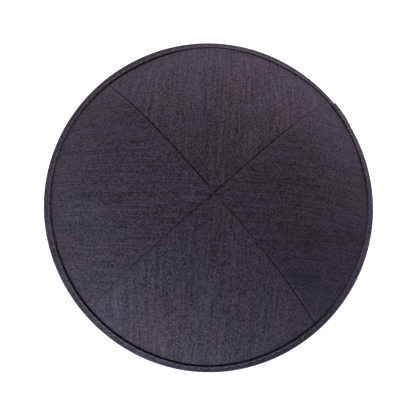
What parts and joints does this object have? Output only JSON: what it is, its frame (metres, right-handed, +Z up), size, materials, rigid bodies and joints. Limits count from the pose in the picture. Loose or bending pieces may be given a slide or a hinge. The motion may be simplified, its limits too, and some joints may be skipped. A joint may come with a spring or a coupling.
{
  "type": "kippah",
  "caption": "Shallow round cloth skullcap made of curved panels that meet at the crown, with a folded cloth binding round its open edge.",
  "frame": {"origin": "middle of the bound edge, on the surface that the cap lies on", "axes": "+Z up through the crown, +X to the right and +Y to the back, as the picture shows the cap from above"},
  "size_m": [0.1548, 0.157, 0.036],
  "materials": {
    "crown_cloth": "matte plain weave with slubs",
    "binding_cloth": "matte plain weave cut on the bias"
  },
  "bodies": {
    "root": {"crown_panel_right": "crown_cloth", "crown_panel_back": "crown_cloth", "crown_panel_left": "crown_cloth", "crown_panel_front": "crown_cloth", "rim_binding": "binding_cloth"}
  },
  "joints": []
}
